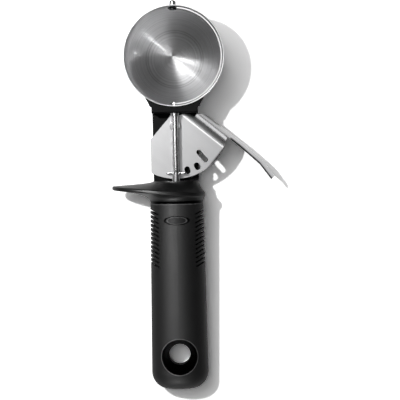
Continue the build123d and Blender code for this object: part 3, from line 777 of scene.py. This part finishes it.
def light_bowl(studio):
    """The key light, which leaves the bowl out, and the lamps that draw the bowl's highlights."""
    key = add_point_light("key_light", UNDER_BOWL + KEY_PLACE, radius=0.012, power=studio.key_power)
    light_only(key, "key_lit", BOWL_PIECES, "EXCLUDE")
    glint = add_point_light("glint_light", UNDER_BOWL + GLINT_PLACE, radius=0.03, power=studio.glint_power)
    light_only(glint, "glint_lit", BOWL_PIECES, mirrored=True)
    strip_way = 0.9 * Vector((-0.469, 0.41, 0.749))
    strip = add_area_light("strip_light", BOWL_CENTRE, strip_way, side=0.04, power=0.35)
    light_only(strip, "strip_lit", BOWL_PIECES)
    pole_way = 0.9 * Vector((-0.19, 0.31, 0.93))
    pole = add_area_light("pole_light", BOWL_CENTRE, pole_way, side=0.2, power=0.42)
    light_only(pole, "pole_lit", ("bowl",), mirrored=True)
    for name, turn, lean, radius, power in LOW_LIGHTS:
        turn, lean = math.radians(turn), math.radians(lean)
        way = Vector((math.cos(turn) * math.sin(lean), math.sin(turn) * math.sin(lean), math.cos(lean)))
        low = add_point_light(name, BOWL_CENTRE + LOW_DISTANCE * way, radius, power)
        light_only(low, name + "_lit", ("bowl",), mirrored=True)


def light_steel():
    """The lamp that draws the lever's fold, and the soft ones that leave the black pieces out."""
    fold_way = 0.9 * Vector((0.575, 0.71, 0.407))
    fold = add_area_light("fold_light", UNDER_BOWL + FOLD_AIM, fold_way, side=0.4, power=0.7)
    light_only(fold, "fold_lit", ("lever",), mirrored=True)
    soft_way = 1.1 * Vector((-0.30, 0.37, 0.87))
    soft = add_area_light("soft_light", BOWL_CENTRE, soft_way, side=0.6, power=2.4)
    light_only(soft, "soft_lit", BLACK_PIECES, "EXCLUDE")
    wide_way = 1.3 * Vector((-0.36, 0.30, 0.88))
    wide = add_area_light("wide_light", BOWL_CENTRE, wide_way, side=1.6, power=0.5)
    light_only(wide, "wide_lit", BLACK_PIECES, "EXCLUDE")
    top = add_area_light("top_light", UNDER_BOWL + TOP_AIM, (0.0, 0.0, 1.0), side=0.35, power=0.8)
    light_only(top, "top_lit", BLACK_PIECES, "EXCLUDE")


def light_rubber():
    """The lamps that draw the soft band along the grip and the light on its end."""
    band = add_area_light("band_light", UNDER_BOWL + BAND_AIM, (-0.19, 0.0, 0.65), side=0.08, power=4.4)
    light_only(band, "band_lit", ("guard", "grip", "badge"), mirrored=True)
    end_way = 0.7 * Vector((-0.15, -0.85, 0.5))
    end_light = add_area_light("end_light", UNDER_BOWL + END_AIM, end_way, side=0.1, power=3.0)
    light_only(end_light, "end_lit", ("guard", "grip"), mirrored=True)


def add_room(scene, studio):
    """The wide fill overhead, which nothing mirrors, and the room's even light."""
    fill = add_area_light("fill_light", Vector(), (-0.3, 0.3, 1.2), side=1.2, power=studio.top_power)
    fill.visible_glossy = False
    world = bpy.data.worlds.new("room")
    scene.world = world
    world.use_nodes = True
    backdrop = world.node_tree.nodes["Background"]
    backdrop.inputs["Color"].default_value = (*WHITE, 1.0)
    backdrop.inputs["Strength"].default_value = studio.sky


# The camera looks straight down from beside the bowl's centre, turned a little about its own axis.
CAMERA_SENSOR = 36.0
CAMERA_LENS = 88.38
CAMERA_SIDE = 0.0145
CAMERA_BACK = 0.08869
CAMERA_TURN = math.radians(1.1)


def add_camera(scene, height):
    view = bpy.data.cameras.new("camera")
    view.sensor_width = CAMERA_SENSOR
    view.lens = CAMERA_LENS
    camera = bpy.data.objects.new("camera", view)
    scene.collection.objects.link(camera)
    camera.location = (UNDER_BOWL.x + CAMERA_SIDE, UNDER_BOWL.y - CAMERA_BACK, height)
    camera.rotation_euler = (0.0, 0.0, -CAMERA_TURN)
    scene.camera = camera


class SCOOP_OT_stage(bpy.types.Operator):
    """Set the white floor, the lights and the camera"""

    bl_idname = "scoop.stage"
    bl_label = "Studio"

    def execute(self, context):
        studio = context.scene.scoop_studio
        deselect_all()
        bpy.ops.mesh.primitive_plane_add(size=FLOOR_SIDE, location=(0.0, 0.0, 0.0))
        floor = context.object
        floor.name = "floor"
        dress(floor, floor_white())
        light_bowl(studio)
        light_steel()
        light_rubber()
        add_room(context.scene, studio)
        add_camera(context.scene, studio.camera_height)
        context.scene.view_settings.view_transform = "Standard"
        return {"FINISHED"}


class SCOOP_PT_panel(bpy.types.Panel):
    """The scoop's steps, in order"""

    bl_idname = "SCOOP_PT_panel"
    bl_label = "Scoop"
    bl_space_type = "VIEW_3D"
    bl_region_type = "UI"
    bl_category = "Scoop"

    def draw(self, context):
        for step in STEPS:
            self.layout.operator(step.bl_idname)
        for group in (context.scene.scoop_steel, context.scene.scoop_black, context.scene.scoop_studio):
            for name in group.__annotations__:
                self.layout.prop(group, name)


STEPS = (SCOOP_OT_bowl, SCOOP_OT_lever, SCOOP_OT_handle, SCOOP_OT_stage)
GROUPS = {"scoop_steel": ScoopSteel, "scoop_black": ScoopBlack, "scoop_studio": ScoopStudio}


def register():
    for made in (*GROUPS.values(), *STEPS, SCOOP_PT_panel):
        bpy.utils.register_class(made)
    for name, group in GROUPS.items():
        setattr(bpy.types.Scene, name, bpy.props.PointerProperty(type=group))


def unregister():
    for name in GROUPS:
        delattr(bpy.types.Scene, name)
    for made in (SCOOP_PT_panel, *reversed(STEPS), *GROUPS.values()):
        bpy.utils.unregister_class(made)


def main():
    register()
    bpy.ops.scoop.bowl()
    bpy.ops.scoop.lever()
    bpy.ops.scoop.handle()
    bpy.ops.scoop.stage()


if __name__ == "__main__":
    main()
